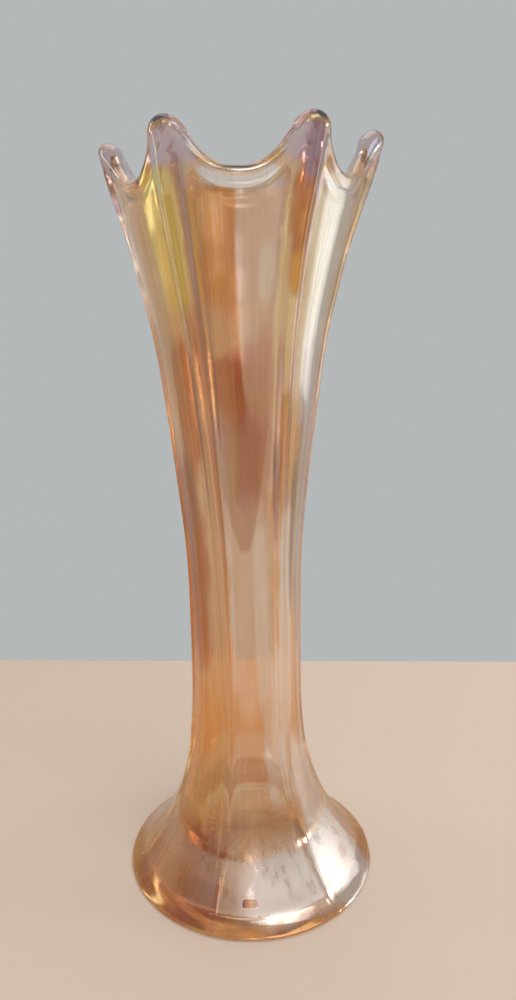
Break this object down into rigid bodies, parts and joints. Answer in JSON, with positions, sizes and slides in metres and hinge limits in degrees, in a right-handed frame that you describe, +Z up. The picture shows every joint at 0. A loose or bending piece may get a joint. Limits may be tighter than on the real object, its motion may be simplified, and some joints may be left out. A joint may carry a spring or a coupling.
{
  "type": "swung glass vase",
  "caption": "Tall swung glass bud vase with a flared solid foot, raised vertical ribs, a slim waist and a flared mouth edged with rounded upright fingers; marigold iridescent finish",
  "frame": {"origin": "centre of the resting plane, under the foot", "axes": "+Z up the vase's height, -Y towards the front, +X to the right"},
  "size_m": [0.0853, 0.0834, 0.2356],
  "materials": {
    "marigold_glass": "clear glass with a thin iridescent marigold film on the outside, satin over the foot, fire polished at the rim"
  },
  "bodies": {
    "root": {"glass_body": "marigold_glass"}
  },
  "joints": []
}
